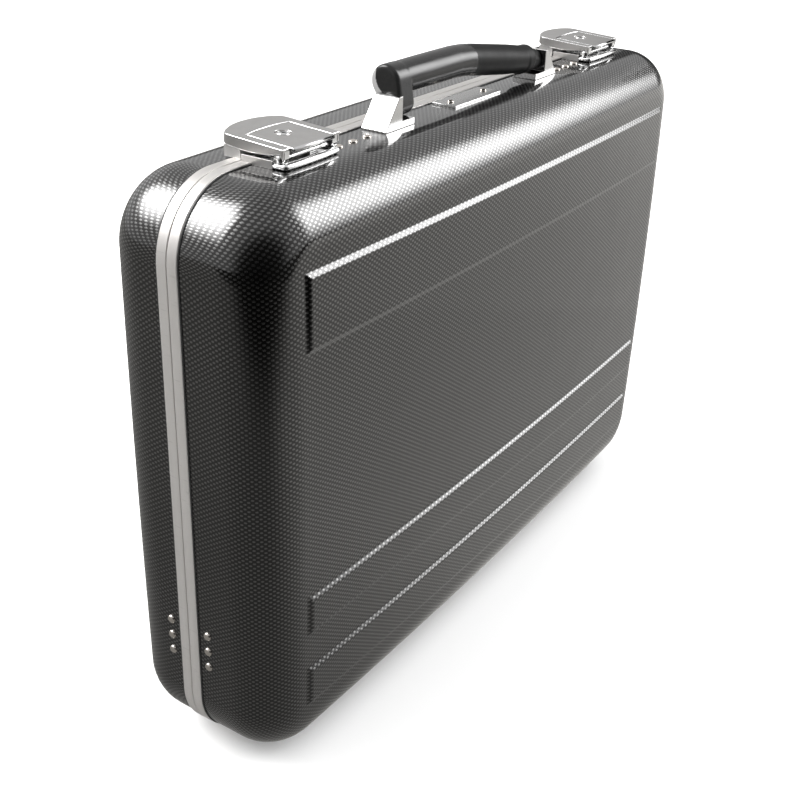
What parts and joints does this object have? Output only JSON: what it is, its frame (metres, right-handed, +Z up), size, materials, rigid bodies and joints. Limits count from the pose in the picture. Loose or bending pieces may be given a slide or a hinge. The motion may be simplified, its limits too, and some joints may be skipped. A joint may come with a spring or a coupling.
{
  "type": "key storage case",
  "caption": "Hard attache-style key case: two crowned shells in metal frames, hinged lid on folding stays, lever latches with locks, carrying handle and key hook boards inside.",
  "frame": {"origin": "centre of the footprint on the floor, at the bottom of the feet", "axes": "+X along the case, +Y from the deep body half to the lid, +Z up; the case stands upright on its feet with the handle on top"},
  "size_m": [0.461, 0.1112, 0.3547],
  "materials": {
    "shell": "clear coat over a fine dark weave",
    "frame": "satin anodised",
    "trim": "matt black",
    "rivet": "polished nickel",
    "hinge": "satin",
    "foot": "matt black",
    "screw": "zinc plated",
    "bracket": "polished",
    "latch": "satin nickel",
    "lock": "polished",
    "spring": "spring temper",
    "plate": "brushed, bare",
    "grip": "satin black",
    "lining": "black felt on a thin board",
    "board": "grey, fine grain",
    "hook": "zinc plated",
    "stay": "satin"
  },
  "bodies": {
    "case_body": {"body_shell": "shell", "body_frame": "frame", "body_edge_trim": "trim", "body_rivets": "rivet", "name_plate_rivets": "rivet", "body_hinge_leaves": "hinge", "hinge_pins": "hinge", "body_feet": "foot", "body_foot_screws": "screw", "left_handle_bracket": "bracket", "right_handle_bracket": "bracket", "bracket_backing_plates": "screw", "bracket_screws": "screw", "name_plate": "plate", "left_latch_base": "latch", "right_latch_base": "latch", "latch_pins": "spring", "latch_springs": "spring", "latch_base_rivets": "rivet", "body_stay_studs": "stay", "body_lining": "lining", "body_key_board": "board", "body_board_spacers": "board", "body_board_screws": "screw", "body_hook_rails": "hook"},
    "lid": {"lid_shell": "shell", "lid_frame": "frame", "lid_edge_trim": "trim", "lid_rivets": "rivet", "lid_hinge_leaves": "hinge", "lid_feet": "foot", "lid_foot_screws": "screw", "latch_keepers": "latch", "keeper_rivets": "rivet", "lid_stay_studs": "stay", "lid_lining": "lining", "lid_key_board": "board", "lid_board_spacers": "board", "lid_board_screws": "screw", "lid_hook_rails": "hook"},
    "handle": {"handle_grip": "grip", "handle_pins": "spring"},
    "left_cover": {"left_latch_cover": "latch", "left_lever_pin": "spring"},
    "left_lever": {"left_latch_lever": "latch", "left_lock_housing": "lock"},
    "left_lock": {"left_lock_plug": "lock", "left_lock_cam": "lock"},
    "left_lower_stay": {"left_lower_stay_bar": "stay", "left_stay_knee_rivet": "stay"},
    "left_upper_stay": {"left_upper_stay_bar": "stay"},
    "right_cover": {"right_latch_cover": "latch", "right_lever_pin": "spring"},
    "right_lever": {"right_latch_lever": "latch", "right_lock_housing": "lock"},
    "right_lock": {"right_lock_plug": "lock", "right_lock_cam": "lock"},
    "right_lower_stay": {"right_lower_stay_bar": "stay", "right_stay_knee_rivet": "stay"},
    "right_upper_stay": {"right_upper_stay_bar": "stay"}
  },
  "joints": [
    {"name": "lid_hinge", "type": "hinge", "parent": "case_body", "child": "lid", "pos_m": [0, 0.00447, 0.0034], "axis": [-1, 0, 0], "range_deg": [0, 95]},
    {"name": "handle_swing", "type": "hinge", "parent": "case_body", "child": "handle", "pos_m": [0, -0.01103, 0.334], "axis": [1, 0, 0], "range_deg": [-35, 60]},
    {"name": "left_cover_hinge", "type": "hinge", "parent": "case_body", "child": "left_cover", "pos_m": [-0.157, -0.01803, 0.329], "axis": [1, 0, 0], "range_deg": [0, 65]},
    {"name": "left_lever_hinge", "type": "hinge", "parent": "left_cover", "child": "left_lever", "pos_m": [-0.157, 0.00276, 0.33347], "axis": [-1, 0, 0], "range_deg": [0, 40]},
    {"name": "left_lock_turn", "type": "hinge", "parent": "left_lever", "child": "left_lock", "pos_m": [-0.157, -0.00434, 0.33497], "axis": [0, 0.0558, -0.9984], "range_deg": [0, 90]},
    {"name": "left_lower_stay_fold", "type": "hinge", "parent": "case_body", "child": "left_lower_stay", "pos_m": [-0.224, -0.00803, 0.077], "axis": [-1, 0, 0], "range_deg": [0, 120.7]},
    {"name": "left_stay_knee", "type": "hinge", "parent": "left_lower_stay", "child": "left_upper_stay", "pos_m": [-0.2224, 0.00447, 0.13875], "axis": [1, 0, 0], "range_deg": [0, 146.2]},
    {"name": "right_cover_hinge", "type": "hinge", "parent": "case_body", "child": "right_cover", "pos_m": [0.157, -0.01803, 0.329], "axis": [1, 0, 0], "range_deg": [0, 65]},
    {"name": "right_lever_hinge", "type": "hinge", "parent": "right_cover", "child": "right_lever", "pos_m": [0.157, 0.00276, 0.33347], "axis": [-1, 0, 0], "range_deg": [0, 40]},
    {"name": "right_lock_turn", "type": "hinge", "parent": "right_lever", "child": "right_lock", "pos_m": [0.157, -0.00434, 0.33497], "axis": [0, 0.0558, -0.9984], "range_deg": [0, 90]},
    {"name": "right_lower_stay_fold", "type": "hinge", "parent": "case_body", "child": "right_lower_stay", "pos_m": [0.224, -0.00803, 0.077], "axis": [-1, 0, 0], "range_deg": [0, 120.7]},
    {"name": "right_stay_knee", "type": "hinge", "parent": "right_lower_stay", "child": "right_upper_stay", "pos_m": [0.2224, 0.00447, 0.13875], "axis": [1, 0, 0], "range_deg": [0, 146.2]}
  ],
  "couplings": [
    {"joint": "left_lower_stay_fold", "follows": "lid_hinge", "ratio": 1.2689},
    {"joint": "left_stay_knee", "follows": "lid_hinge", "ratio": 1.5377},
    {"joint": "right_lower_stay_fold", "follows": "lid_hinge", "ratio": 1.2689},
    {"joint": "right_stay_knee", "follows": "lid_hinge", "ratio": 1.5377}
  ]
}
